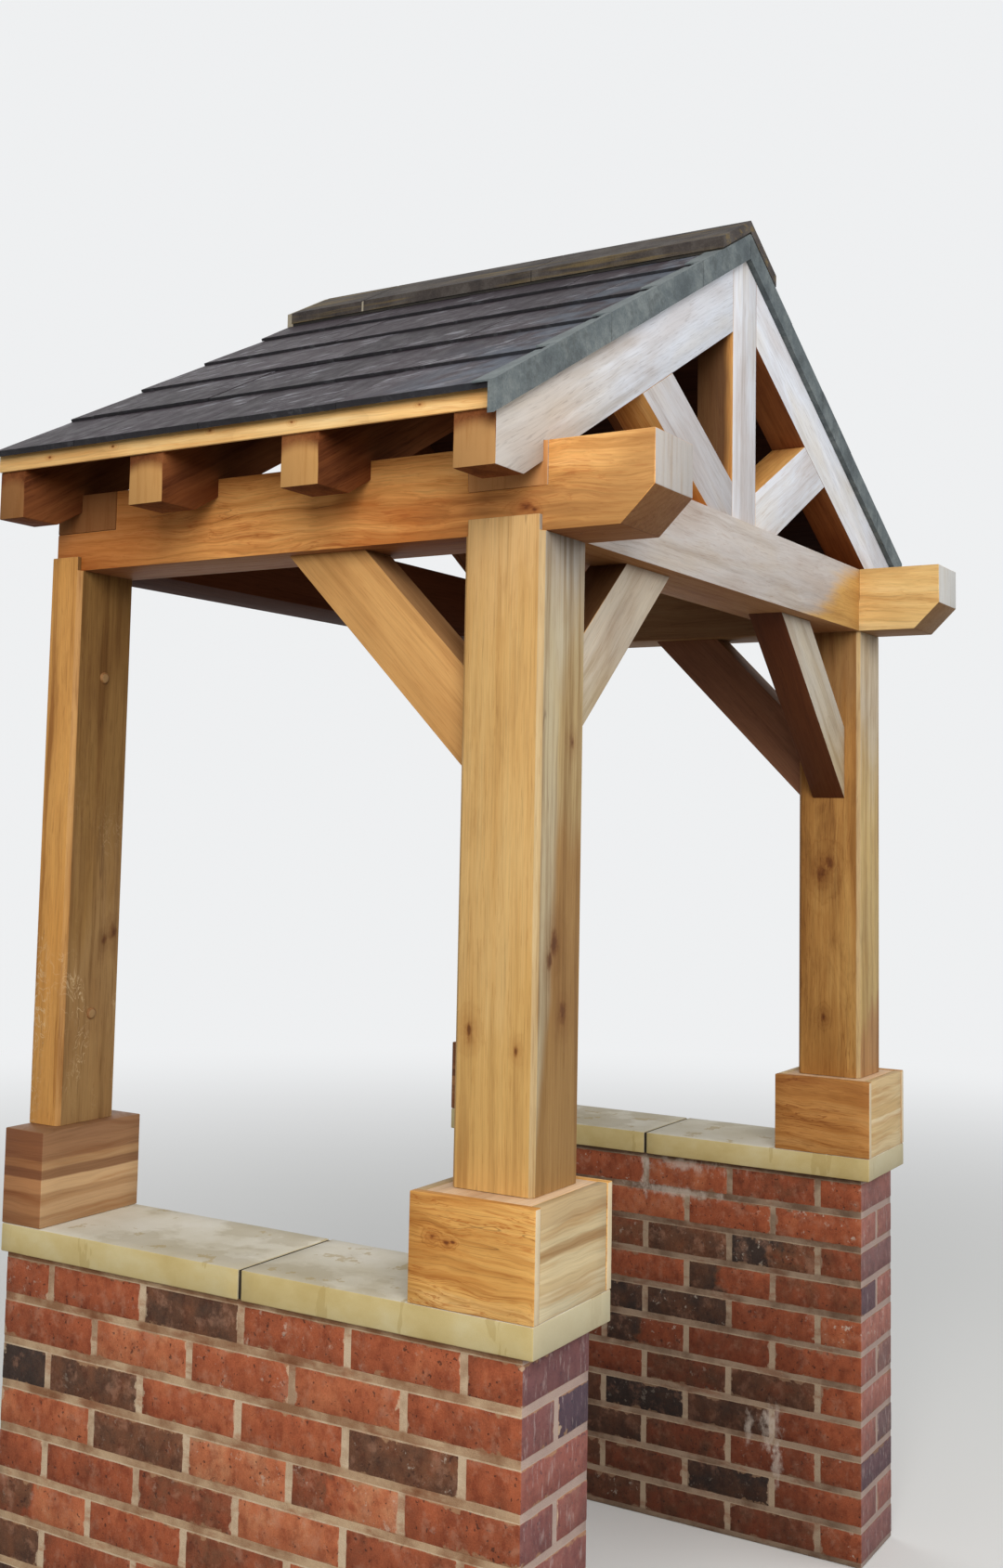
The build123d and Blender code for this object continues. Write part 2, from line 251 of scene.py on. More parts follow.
def wood(name, grain, middle, tones, heart, ring, seed, faces=(), knots=(), ends=(158, 140, 120), butt=0.9,
        checks=0.5, lines=1.0, figure=0.5, smoke=0.0, flecks=0.0, streaky=0.3, back_ends=None):
    """Sawn timber cut from a solid of growth rings.

    grain is the direction of the fibres, middle a point in the piece and heart the pith's place
    beside it, ring is a year's growth. faces are (direction, colour, share) for sides toned by the way
    they face, mostly painted light and shade: pale fronts are painted sky reflection, and dark undersides,
    backs and inner sides are painted shade. (axis or direction, where it is whole, where it is gone) after
    it is for those that fade. knots are (x, y, z, radius). checks is how far drying cracks show, lines how
    far the rings do, figure how much the grain wanders, smoke how much it is stained, streaky how far the
    toned sides are streaked, and flecks shows the rays. butt is how squarely a face must cut
    the fibres to count as end grain, and back_ends is the tone of ends that face the house.
    """
    s = Shade(name)
    along = Vector(grain).normalized()
    across = along.cross(Vector(UP if abs(along.z) < 0.9 else BACK)).normalized()
    turn = Matrix((across, along.cross(across), along))
    shift = Vector((*heart, seed * 3.1)) - turn @ Vector(middle)
    p = s.make("Mapping", {"Vector": s.place, "Rotation": turn.to_euler(), "Location": shift})

    bent = p
    for scale, sway in (((5, 5, 1.3), 0.01 + 0.02 * figure), ((17, 17, 6.5), 0.02 * figure)):
        drift = s.vector("SUBTRACT", s.noise(p, scale, out="Color"), (0.5, 0.5, 0.5))
        bent = s.vector("ADD", bent, s.stretch(drift, (sway, sway, 0)))
    ragged = s.noise(p, (75, 75, 42), 4, 0.65) - 0.5
    # Each knot: the grain swirls around it, its core is brown and its heartwood nearly black
    swirl, core, heartwood = 0.0, 0.0, 0.0
    for x, y, z, size in knots:
        at = turn @ Vector((x, y, z)) + shift
        away = s.vector("LENGTH", s.stretch(s.vector("SUBTRACT", p, tuple(at)), (1, 1, 0.6)))
        away += ragged * (size * 2.0)
        swirl = s.most(s.span(away, size * 0.5, size * 3.2, 1.0, 0.0), swirl)
        core = s.most(s.span(away, size * 0.1, size * 1.15, 1.0, 0.0), core)
        heartwood = s.most(s.span(away, 0.0, size * 0.6, 1.0, 0.0), heartwood)
    phase = s.vector("LENGTH", s.stretch(bent, (1, 1, 0.02))) * (1 / ring)
    phase += s.noise(p, (9, 9, 1.1), 3) * 1.2
    if knots:
        phase += swirl * 2.2
    rings = s.math("FRACT", phase)
    ring_tone = s.ramp(rings, (0.0, (0.68, 0.56, 0.44, 1)), (0.08, (0.75, 0.65, 0.54, 1)),
        (0.3, (0.95, 0.94, 0.91, 1)), (0.6, 1.0), (0.88, (0.99, 0.98, 0.97, 1)), (1.0, (0.8, 0.71, 0.61, 1)))
    fibre = s.noise(bent, (300, 300, 6), 3, 0.7)
    streak = s.noise(bent, (46, 46, 1.3), 4, 0.62)
    patch = s.noise(p, (7, 7, 2.2), 3, 0.55)
    dash = s.span(s.noise(bent, (460, 460, 22), 1), 0.6, 0.68)
    line = s.crease(s.noise(bent, (110, 110, 3.0), 3, 0.6), 0.035)
    line *= s.span(s.noise(p, (14, 14, 3.0)), 0.38, 0.6)

    colour = s.ramp(streak * 0.45 + patch * 0.55, (0.36, tones[0]), (0.5, tones[1]), (0.64, tones[2]))
    colour = s.tint(0.42 * lines, colour, ring_tone)
    colour = s.tint(line * (0.375 * lines), colour, tones[0])
    if smoke:
        stain = s.noise(bent, (15, 15, 4.5), 5, 0.65, distortion=0.6)
        colour = s.tint(s.span(stain, 0.48, 0.66) * (0.85 * smoke), colour, (150, 116, 84))
    thread = s.ramp(fibre, (0.3, 0.80), (0.5, 1.0), (0.72, 1.08))
    colour = s.tint(0.9, colour, thread)
    # Each side's own tone by the way it faces: mostly painted light and shade
    for direction, tone, share, *fade in faces:
        own = s.toned(0.7, tone, patch, (0.36, (232, 222, 214)), (0.5, 1.0), (0.66, (250, 240, 222)))
        own = s.tint(0.15 * lines, own, ring_tone)
        own = s.tint(line * 0.08, own, tones[0])
        own = s.tint(0.5, own, thread)
        own = s.toned(streaky, own, streak, (0.36, (186, 166, 142)), (0.5, 1.0), (0.64, (1.1, 1.09, 1.06, 1)))
        much = s.facing(direction, 0.8, 0.95) * share
        if fade:
            way, whole, gone = fade
            wander = 3.0 * abs(gone - whole)
            reach = s.axis(way) if isinstance(way, int) else s.vector("DOT_PRODUCT", s.place, way)
            reach += (streak - 0.5) * (0.45 * wander) + (patch - 0.5) * wander
            much *= s.span(reach, whole, gone, 1.0, 0.0)
        colour = s.mix(much, colour, own)
    colour = s.tint(dash * 0.192, colour, tones[0])
    if flecks:
        ray = s.vector("ADD", p, s.stretch(drift, (0.05, 0.05, 0.05)))
        ray = s.crease(s.noise(ray, (46, 46, 30), distortion=1.4), 0.035, flecks)
        ray *= s.span(s.noise(p, (9, 9, 5)), 0.48, 0.62)
        colour = s.mix(ray * s.span(s.axis(2), 1.3, 1.8, 1.0, 0.0), colour, (226, 198, 156))
    end = s.span(abs(s.vector("DOT_PRODUCT", s.normal, tuple(along))), butt, butt + 0.05, 0.0, 0.9)
    if back_ends:
        ends = s.mix(s.facing(BACK), ends, back_ends)
    bands = s.noise(s.place, (80, 80, 5), 4, 0.6)
    colour = s.mix(end, colour, s.toned(1.0, ends, bands, (0.3, (234, 224, 212)), (0.5, 1.0), (0.7, 1.03)))
    if knots:
        colour = s.tint(swirl * 0.315, colour, tones[0])
        colour = s.tint(core * 0.85, colour, (180, 136, 96))
        colour = s.mix(heartwood * 0.55, colour, (74, 44, 26))
    split = s.crease(s.noise(bent, (26, 26, 0.7), 1), 0.005)
    split *= s.span(s.noise(p, (14, 14, 1.6)), 0.57, 0.63)
    split *= s.span(end, 0.0, 0.3, checks, checks * 0.3)
    colour = s.mix(split, colour, (74, 44, 26))
    height = fibre * 0.6 + rings * 0.12 - split * 2.0
    shine = 0.04 if tones in (SHADED, DEEP_SHADE) else 0.2
    return s.finish(colour, s.span(fibre, 0.3, 0.7, 0.72, 0.6), height, 0.5, 0.0006, shine)


def laminated(name, low, high, plies, seed, left=None):
    """Block glued up of flat boards: level strips of different tone, with the grain along them.

    plies are (height as a share, tone), and left tints what faces that way.
    """
    s = Shade(name)
    moved = s.vector("ADD", s.place, (seed, seed * 0.7, seed * 1.3))
    wave = s.noise(moved, (6, 6, 14), 3) - 0.5
    height = s.span(s.axis(2) + wave * 0.012, low, high, smooth=False)
    soft = []
    for (at, tone), (_, before) in zip(plies[1:], plies):
        soft += [(at - 0.012, before), (at + 0.004, tone)]
    colour = s.ramp(height, (0.0, plies[0][1]), *soft)
    flow = s.vector("ADD", moved, s.stretch(s.noise(moved, (6, 6, 12), out="Color"), (0, 0, 0.03)))
    grain = s.noise(flow, (7, 7, 300), 3, 0.65)
    broad = s.noise(flow, (2.5, 2.5, 46), 3, 0.6)
    colour = s.toned(0.8, colour, grain, (0.3, 0.8), (0.5, 1.0), (0.75, 1.07))
    colour = s.toned(0.85, colour, broad, (0.36, (226, 204, 178)), (0.52, 1.0), (0.7, (1.06, 1.05, 1.03, 1)))
    if left:
        colour = s.tint(s.facing(LEFT), colour, left)
    return s.finish(colour, s.span(grain, 0.3, 0.7, 0.72, 0.6), grain, 0.4, 0.0006, 0.35)


# White lime that came out of the right wall's inner side: (along, up, half length, half height)
BLOOMS = ((-0.02, 0.85, 0.13, 0.018), (0.0, 0.783, 0.15, 0.014), (0.086, 0.815, 0.018, 0.06),
          (-0.25, 0.268, 0.032, 0.06), (-0.266, 0.19, 0.014, 0.06), (-0.195, 0.262, 0.012, 0.04))


def bloomed(s, colour):
    """The colour under ragged patches of white lime, on what faces the doorway."""
    ragged = s.noise(s.place, (44, 44, 30), 4, 0.66)
    bare = 1.0
    for y, z, long, tall in BLOOMS:
        away = s.stretch(s.vector("SUBTRACT", s.place, (0.0, y, z)), (0.0, 1 / long, 1 / tall))
        away = s.vector("LENGTH", away) + ragged * 3.6
        bare = s.span(away, 1.7, 2.9, 0.36, 1.0) * bare
    return s.mix((1.0 - bare) * s.facing(LEFT), colour, (202, 186, 172))


def brickwork(name, bed_tone, perp_tone, end_tone, shaded_and_limed=None):
    """Rustic facing brick: each one's own tone, fired blotches, drag marks, specks and lime.

    The last argument is a direction: what faces that way is painted darker low down, behind the wall's front
    end, and a little darker all over, as painted shade. The wall that has it has the white lime too.
    """
    s = Shade(name)
    tone, along = s.part("tone"), s.part("along")
    p = s.vector("ADD", s.place, s.stretch(s.part("offset"), (7.0, 5.0, 9.0)))
    burnt = s.part("flash") * s.span(along + (s.noise(p, 26, 3) - 0.5) * 0.7, 0.48, 0.66)
    value = tone + (s.noise(p, 19, 4, 0.62) - 0.5) * 0.62 - burnt * 0.42
    colour = s.ramp(value, (0.02, (62, 49, 43)), (0.16, (90, 63, 48)), (0.32, (116, 75, 53)),
        (0.48, (142, 76, 50)), (0.66, (164, 87, 56)), (0.84, (184, 109, 73)), (1.0, (200, 140, 102)))
    sand = s.noise(p, 420, 3, 0.7)
    colour = s.toned(0.85, colour, sand, (0.3, 0.74), (0.55, 1.0), (0.75, 1.14))
    drag = s.noise(p, (46, 46, 36), 5, 0.66)
    colour = s.toned(0.8, colour, drag, (0.36, (216, 200, 198)), (0.5, 1.0), (0.64, 1.12))
    speck = s.span(s.noise(p, 105, 2, 0.6), 0.655, 0.69)
    colour = s.mix(speck * 0.75, colour, (64, 38, 30))
    fold = s.noise(p, (60, 60, 22), 4, 0.65)
    dusty = s.span(s.noise(p, 30, 4, 0.7), 0.5, 0.7) * 0.32
    colour = s.mix(dusty, colour, (190, 142, 116))
    lime = s.span(s.noise(p, 44, 4, 0.75), 0.6, 0.68)
    colour = s.mix(lime * s.part("stain"), colour, (210, 196, 178))
    # Front ends: partly the bricks' own bluer, darker ends by chill, partly a cool mauve cast on every end
    # face as painted sky light
    cool = s.mix(s.part("chill"), end_tone, (62, 60, 74))
    share = s.facing(FRONT) * s.span(s.part("chill"), 0.0, 1.0, 0.5, 0.88)
    colour = s.mix(share, colour, s.toned(0.6, cool, drag, (0.36, 0.8), (0.5, 1.0), (0.64, 1.2)))
    bloom = s.span(s.noise(p, (95, 95, 24), 4, 0.7), 0.54, 0.68, 0.0, 0.34)
    colour = s.mix(bloom * s.facing(FRONT), colour, (196, 178, 172))
    # Painted shade: the side that faces that way darker low down and towards the back
    if shaded_and_limed:
        wet = s.span(s.axis(2), 0.3, 0.8, 0.6, 0.0) * s.span(s.axis(1), -0.42, -0.28, 0.3, 1.0)
        colour = s.tint(s.most(wet, 0.12) * s.facing(shaded_and_limed), colour, (120, 108, 108))

    # Mortar lapping unevenly over the brick's margin
    turned = s.span(abs(s.axis(1, s.normal)), 0.6, 0.8)
    side = s.part("run") * (1.0 - turned) + s.part("cross") * turned
    from_middle = abs(abs(s.axis(0)) - WALL_MIDDLE)
    by_front = s.span(s.axis(1), WALL_FRONT + 0.004, WALL_FRONT + 0.012, 0.02, 0.0)
    by_side = s.span(from_middle, WALL_HALF - 0.012, WALL_HALF - 0.004, 0.0, 0.02)
    arris = by_front * (1.0 - turned) + by_side * turned
    margin = s.math("MINIMUM", s.part("rise"), side + arris)
    lap = s.span(s.noise(s.place, 38, 4, 0.6), 0.4, 0.7, 0.0, 0.006)
    lap *= s.span(s.noise(s.place, 10), 0.5, 0.62, 0.9, 1.9)
    lap = s.span(margin - lap, -0.002, 0.0014, 0.7, 0.0)
    lime_tone = s.mix(s.span(s.part("rise") - side, -0.001, 0.001), bed_tone, perp_tone)
    colour = s.mix(lap, colour, s.toned(0.8, lime_tone, sand, (0.3, 0.8), (0.7, 1.08)))
    if shaded_and_limed:
        colour = bloomed(s, colour)
    height = fold + sand * 0.35 - speck * 0.6
    return s.finish(colour, s.span(sand, 0.3, 0.7, 0.95, 0.8), height, 0.7, 0.0022, 0.25)


def mortar(name, colour_a, colour_b, perp=None, limed=False):
    """Mortar. perp is the tone of a wall's upright joints, and limed adds the patches of white lime."""
    s = Shade(name)
    sand = s.noise(s.place, 520, 3, 0.7)
    blotch = s.noise(s.place, 11, 4, 0.6)
    if perp:
        blotch += s.span(s.axis(2), 0.35, 0.85, 0.07, -0.07, False)
    colour = s.ramp(blotch, (0.36, colour_a), (0.62, colour_b))
    if perp:
        level = s.math("FRACT", s.axis(2) * (1 / COURSE))
        upright = s.span(level, 0.15, 0.22) * s.span(blotch, 0.34, 0.56, 0.35, 1.0)
        colour = s.mix(upright, colour, perp)
        dust = s.noise(s.place, (9, 9, 26), 4, 0.7)
        colour = s.tint(s.span(dust, 0.5, 0.66, 0.0, 0.62), colour, (206, 160, 140))
        # Every front side the same pinkish grey as the brick ends: painted cool sky light
        colour = s.mix(s.facing(FRONT) * 0.85, colour, (178, 156, 147))
    colour = s.toned(0.8, colour, sand, (0.3, 0.78), (0.55, 1.0), (0.75, 1.1))
    if limed:
        colour = bloomed(s, colour)
    height = sand + s.noise(s.place, 90, 3) * 1.5
    return s.finish(colour, 0.94, height, 0.6, 0.0014, 0.25)


def stone():
    """Cast coping stone: buff and sandy, damp in patches on top, with a few runs down the sides."""
    s = Shade("buff_stone")
    sand = s.noise(s.place, 640, 3, 0.7)
    cloud = s.noise(s.place, (6, 6, 9), 4, 0.6)
    side = s.ramp(cloud, (0.34, (192, 169, 111)), (0.5, (202, 182, 128)), (0.66, (208, 193, 147)))
    # The top is paler and greyer than the sides, partly painted sky light; the darker patches on it are damp
    top = s.ramp(cloud, (0.34, (209, 200, 177)), (0.55, (221, 214, 196)), (0.7, (228, 222, 208)))
    wet = s.noise(s.place, (5.0, 3.6, 5), 5, 0.6)
    wet = s.most(s.span(wet, 0.535, 0.56, 0.0, 0.34), s.span(wet, 0.5, 0.54, 0.0, 0.18))
    top = s.mix(wet, top, (158, 140, 98))
    colour = s.mix(s.facing(UP), side, top)
    run = s.noise(s.place, (17, 17, 3.5), 4, 0.6)
    run = s.most(s.span(run, 0.615, 0.63, 0.0, 0.5) * s.facing(UP, 0.2, 0.6),
        s.span(run, 0.62, 0.635, 0.0, 0.45))
    colour = s.mix(run, colour, (176, 150, 90))
    # Front sides greyer: painted cool sky light
    colour = s.mix(s.facing(FRONT) * 0.6, colour, (180, 174, 154))
    colour = s.toned(0.5, colour, sand, (0.3, 0.86), (0.55, 1.0), (0.75, 1.06))
    pit = s.span(s.make("TexVoronoi", {"Vector": s.place, "Scale": 130}, "Distance"), 0.0, 0.12, 0.5, 0.0)
    colour = s.mix(pit * 0.35, colour, (150, 130, 88))
    height = sand * 0.5 - pit
    return s.finish(colour, s.span(cloud, 0.3, 0.7, 0.9, 0.78), height, 0.4, 0.0009, 0.3)


def slate(side):
    """Slate-effect tile: riven face, dark grey with a plum cast, and pale scuffs across the slope."""
    s = Shade("slate_tile_left" if side < 0 else "slate_tile_right")
    p = s.vector("ADD", s.place, s.stretch(s.part("tone"), (9.0, 4.0, 6.0)))
    riven = s.noise(p, (20, 42, 20), 5, 0.62, distortion=0.4)
    value = s.noise(p, 6.5, 4) * 0.7 + s.part("tone") * 0.3
    colour = s.ramp(value, (0.3, (37, 29, 34)), (0.46, (48, 39, 45)), (0.6, (56, 47, 52)),
        (0.78, (69, 61, 67)))
    turned = s.make("Mapping", {"Vector": p, "Rotation": (0, 0, math.radians(34 * side))})
    worn = s.span(s.noise(p, 6.5, 3), 0.46, 0.56, 0.05, 1.0)
    scuff = s.span(s.noise(turned, (44, 9, 30), 5, 0.66), 0.54, 0.62)
    hair = s.span(s.noise(turned, (170, 14, 90), 3, 0.7), 0.54, 0.64, 0.0, 0.4)
    colour = s.mix(s.most(scuff, hair) * worn * 0.6, colour, (146, 146, 152))
    sheen = s.span(s.axis(1), -0.42, -0.14, 0.62, 0.0) * s.span(s.noise(p, 11, 4), 0.42, 0.6)
    colour = s.mix(sheen, colour, (92, 102, 114))
    grit = s.noise(p, 380)
    colour = s.toned(0.6, colour, grit, (0.3, 0.8), (0.7, 1.12))
    # Painted shade: the noses and undersides near black, as the shadow under each course
    colour = s.mix(s.span(s.part("edge"), 0.8, 0.97, 0.0, 0.85), colour, (20, 20, 23))
    height = riven + grit * 0.1
    return s.finish(colour, s.span(riven, 0.35, 0.65, 0.76, 0.6), height, 0.7, 0.0022, 0.25)


def concrete(name, dark, body, light, stain, stain_share, grain=300, streaks=(26, 3.2, 34), upper=None):
    """Cast concrete, clouded and streaked. grain and streaks are scales of noise.

    upper is (colour, share) for what faces the sky.
    """
    s = Shade(name)
    cloud = s.noise(s.place, 14, 5, 0.66)
    colour = s.ramp(cloud, (0.36, dark), (0.5, body), (0.64, light))
    drag = s.noise(s.place, streaks, 4, 0.65)
    colour = s.mix(s.span(drag, 0.5, 0.66) * stain_share, colour, stain)
    sand = s.noise(s.place, grain, 3, 0.7)
    colour = s.toned(0.8, colour, sand, (0.3, 0.78), (0.55, 1.0), (0.75, 1.14))
    if upper:
        colour = s.mix(s.facing(UP, 0.7, 0.9) * upper[1], colour, upper[0])
    height = sand * 0.4 + drag * 0.8
    return s.finish(colour, s.span(sand, 0.3, 0.7, 0.9, 0.75), height, 0.6, 0.0014, 0.25)


def added(name, data):
    """A new object in the scene."""
    made = bpy.data.objects.new(name, data)
    scene.collection.objects.link(made)
    return made


def piece(name, mesh, materials, stands_for):
    """Puts a mesh in the scene as a piece that rides on the part's one body."""
    made = added(name, mesh)
    for material in materials:
        mesh.materials.append(material)
    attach(made, "root")
    if stands_for:
        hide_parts(*stands_for)


def smooth_mesh(name, bm, angle):
    """Mesh from a bmesh, shaded smooth but for edges sharper than the angle."""
    bmesh.ops.recalc_face_normals(bm, faces=bm.faces)
    limit = math.radians(angle)
    for face in bm.faces:
        face.smooth = True
    for edge in bm.edges:
        edge.smooth = len(edge.link_faces) == 2 and edge.calc_face_angle(0.0) < limit
    mesh = bpy.data.meshes.new(name)
    bm.to_mesh(mesh)
    bm.free()
    return mesh


def bevel(bm, angle, offset, steps):
    """Rounds the edges that are sharper than the angle."""
    sharp = [e for e in bm.edges if len(e.link_faces) == 2 and e.calc_face_angle(0.0) > math.radians(angle)]
    bmesh.ops.bevel(bm, geom=sharp, offset=offset, segments=steps, profile=0.5, affect="EDGES",
        clamp_overlap=True)


def eased(name, node, material, ease):
    """A CAD piece with its arrises eased as a joiner leaves them, in place of the sharp one."""
    bm = bmesh.new()
    bm.from_mesh(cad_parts[node].data)
    bmesh.ops.remove_doubles(bm, verts=bm.verts, dist=1e-5)
    bmesh.ops.dissolve_limit(bm, angle_limit=math.radians(1.0), verts=bm.verts, edges=bm.edges)
    bevel(bm, 20, ease, 2)
    piece(name, smooth_mesh(name, bm, 40.0), [material], (node,))


class Heap:
    """Many eased blocks gathered into one mesh, each with its own values for the material.

    Besides them each point has its place along the block and how far it is from the block's sides.
    """

    def __init__(self):
        self.points, self.faces, self.slots, self.values = [], [], [], {}

    def block(self, low, high, ease, step, rough, seed, values=None, slot=0):
        """A box with rounded arrises, in faces about 'step' wide, worn inwards by up to 'rough'."""
        low, high = Vector(low), Vector(high)
        ease = min(ease, min(high[i] - low[i] for i in range(3)) * 0.45)
        length = max(range(3), key=lambda n: high[n] - low[n])
        inner_low, inner_high = low + Vector((ease,) * 3), high - Vector((ease,) * 3)
        cuts, found = [], {}
        for a, b in zip(low, high):
            inner = b - a - 2 * ease
            count = max(1, round(inner / step))
            flat = [a + ease + inner * k / count for k in range(count + 1)]
            cuts.append([a, a + ease * 0.3, *flat, b - ease * 0.3, b])

        def corner(i, j, k):
            key = (i, j, k)
            if key in found:
                return found[key]
            p = Vector((cuts[0][i], cuts[1][j], cuts[2][k]))
            q = Vector([min(max(p[n], inner_low[n]), inner_high[n]) for n in range(3)])
            d = p - q
            on_arris = sum(abs(c) > 1e-7 for c in d) > 1
            d.normalize()
            worn = 0.5 + 0.5 * noise.noise(p * 24 + Vector((seed, seed * 0.37, 0)))
            fine = 0.5 + 0.5 * noise.noise(p * 110 + Vector((0, seed, seed * 0.61)))
            depth = rough * (0.6 * worn + 0.4 * fine) * (1.5 if on_arris else 0.8)
            found[key] = len(self.points)
            self.points.append(q + d * (ease - depth))
            own = dict(values or {}, along=(p[length] - low[length]) / (high[length] - low[length]))
            for name, n in (("cross", 0), ("run", 1), ("rise", 2)):
                own[name] = min(p[n] - low[n], high[n] - p[n])
            for name, value in own.items():
                self.values.setdefault(name, []).append(value)
            return found[key]

        def sheet(fixed, at, flip):
            a, b = [n for n in range(3) if n != fixed]
            for m in range(len(cuts[a]) - 1):
                for n in range(len(cuts[b]) - 1):
                    loop = []
                    for u, v in ((m, n), (m + 1, n), (m + 1, n + 1), (m, n + 1)):
                        key = [0, 0, 0]
                        key[fixed], key[a], key[b] = at, u, v
                        loop.append(corner(*key))
                    self.faces.append(loop[::-1] if flip else loop)
                    self.slots.append(slot)

        for fixed in range(3):
            turned = fixed == 1
            sheet(fixed, 0, not turned)
            sheet(fixed, len(cuts[fixed]) - 1, turned)

    def mesh(self, name):
        made = bpy.data.meshes.new(name)
        made.from_pydata([tuple(p) for p in self.points], [], self.faces)
        for polygon, slot in zip(made.polygons, self.slots):
            polygon.material_index = slot
            polygon.use_smooth = True
        for key, numbers in self.values.items():
            made.attributes.new(key, "FLOAT", "POINT").data.foreach_set("value", numbers)
        made.update()
        return made


# Tones of the bricks that show, judged one by one: course by course from the top, each from the front end
LEFT_OUTER = (
    (0.6, 0.66, 0.62, 0.2, 0.62, 0.58), (0.6, 0.76, 0.66, 0.84, 0.56), (0.62, 0.26, 0.68, 0.7, 0.24, 0.0),
    (0.58, 0.84, 0.86, 0.3, 0.76), (0.66, 0.52, 0.82, 0.44, 0.56, 0.54), (0.62, 0.7, 0.42, 0.64, 0.78),
    (0.5, 0.8, 0.72, 0.64, 0.5, 0.22),
)
RIGHT_INNER = (
    (0.6, 0.5, 0.72, 0.62), (0.66, 0.62, 0.76), (0.46, 0.3, 0.24, 0.34), (0.44, 0.56, 0.58),
    (0.7, 0.56, 0.12, 0.06), (0.62, 0.5, 0.54), (0.66, 0.3, 0.36, 0.56), (0.58, 0.22, 0.0, 0.3),
    (0.5, 0.52, 0.42, 0.2), (0.56, 0.1, 0.4, 0.36), (0.56, 0.4, 0.38, 0.3),
)
# How blue and dark the front ends are in each course: the header's, or the outer and the inner brick's
END_CHILL = {
    -1: ((0.6,), (0.48, 0.98), (0.16,), (0.4, 0.12), (0.4,)),
    1: ((0.35,), (0.2, 0.12), (0.5,), (0.14, 0.8), (0.0,), (0.2, 0.14), (0.0,), (0.3, 0.1), (0.8,)),
}


def brick_values(tone, seed, stain, chill=0.0):
    """What a brick's material is told: tone, whether one end is burnt, lime stain and how blue an end is."""
    burnt = seed * seed * 0.0731 % 1.0 < 0.12
    return {"tone": tone, "offset": (seed * 0.618) % 1.0, "flash": float(burnt), "stain": stain,
        "chill": chill}


def wall_piece(side, hand, brick, lime):
    """Courses of stretchers in two leaves, every second one with a header at the front end."""
    heap = Heap()
    low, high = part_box(f"{hand}_dwarf_wall")
    start, end = low.y, high.y
    seed, told, face = (3, LEFT_OUTER, "outer") if side < 0 else (500, RIGHT_INNER, "inner")
    leaves = (("outer", WALL_OUTER - HALF_BRICK, WALL_OUTER), ("inner", WALL_INNER, WALL_INNER + HALF_BRICK))
    for down in range(COURSES):
        top = COURSE * (COURSES - down)
        foot = top - COURSE + BED
        header = down % 2 == 0
        given = END_CHILL[side][down] if down < len(END_CHILL[side]) else ()
        chills = dict(zip((None,) if header else ("outer", "inner"), given))
        rows = []
        if header:
            rows.append((WALL_INNER, WALL_OUTER, start, start + HALF_BRICK, 0, None))
        for leaf, x0, x1 in leaves:
            y, k = (start + HALF_BRICK + PERP, 1) if header else (start, 0)
            while y < end - 0.03:
                rows.append((x0, x1, y, y + BRICK if y + BRICK + 0.04 < end else end, k, leaf))
                y += BRICK + PERP
                k += 1
        for x0, x1, y0, y1, k, leaf in rows:
            seed += 1
            if leaf in (None, face) and down < len(told) and k < len(told[down]):
                tone = told[down][k]
            else:
                tone = rng.choice((0.05, 0.2, 0.28)) if rng.random() < 0.22 else rng.uniform(0.46, 0.86)
            stain = rng.choice((0.0, 0.0, 0.15, 0.4)) if side < 0 else rng.choice((0.0, 0.1, 0.3, 0.7))
            sink = rng.uniform(0.0, 0.0008)
            a, b = (x0, x1) if side > 0 else (-x1, -x0)
            heap.block((a + sink, y0, foot + rng.uniform(-0.001, 0.001)), (b - sink, y1, top), 0.0036, 0.036,
                0.0015, seed, brick_values(tone, seed, stain, chills.get(leaf, (seed * 0.377) % 0.6)))
    a, b = sorted((side * (WALL_OUTER - MORTAR_BACK), side * (WALL_INNER + MORTAR_BACK)))
    heap.block((a, start + MORTAR_BACK, 0.0), (b, end - MORTAR_BACK, high.z), 0.002, 0.03, 0.0014, 9.1,
        brick_values(0.5, 1, 0.0), 1)
    piece(f"{hand}_wall_brickwork", heap.mesh(f"{hand}_wall_brickwork"), [brick, lime],
        (f"{hand}_dwarf_wall",))


wall_piece(-1, "left", brickwork("facing_brick_left", (170, 132, 98), (206, 180, 150), (130, 90, 92)),
    mortar("lime_mortar_left", (146, 106, 76), (198, 168, 134), (210, 186, 156)))
# The right wall's inner side stands in shade: its mortar tones, in the joints and where mortar laps the
# bricks, are darker than the left wall's, as painted shade
wall_piece(1, "right",
    brickwork("facing_brick_right", (138, 108, 84), (164, 138, 114), (150, 118, 117), LEFT),
    mortar("lime_mortar_right", (112, 88, 70), (158, 134, 112), (172, 150, 126), True))


def worn(node, name, material, slot, *wear):
    """A CAD block as a worn one. wear is what Heap.block asks for after the two corners."""
    heap = Heap()
    heap.block(*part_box(node), *wear)
    piece(name, heap.mesh(name), [material], (node,))


# Coping stones, with a dark filled joint between the two of each wall
STONE = stone()
JOINT = mortar("joint_filler", (44, 38, 30), (62, 54, 42))
for side, hand in SIDES:
    for number, place in enumerate(("front", "rear")):
        node = f"{hand}_{place}_coping"
        worn(node, f"{node}_stone", STONE, "coping_stone", 0.003, 0.03, 0.0009, 40 + number + side)
    low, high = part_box(f"{hand}_front_coping")
    heap = Heap()
    heap.block((low.x + 0.003, high.y - 0.001, low.z + 0.002),
        (high.x - 0.003, high.y + 0.007, high.z - 0.002), 0.001, 0.03, 0.001, 77)
    piece(f"{hand}_coping_joint", heap.mesh("joint"), [JOINT], ())

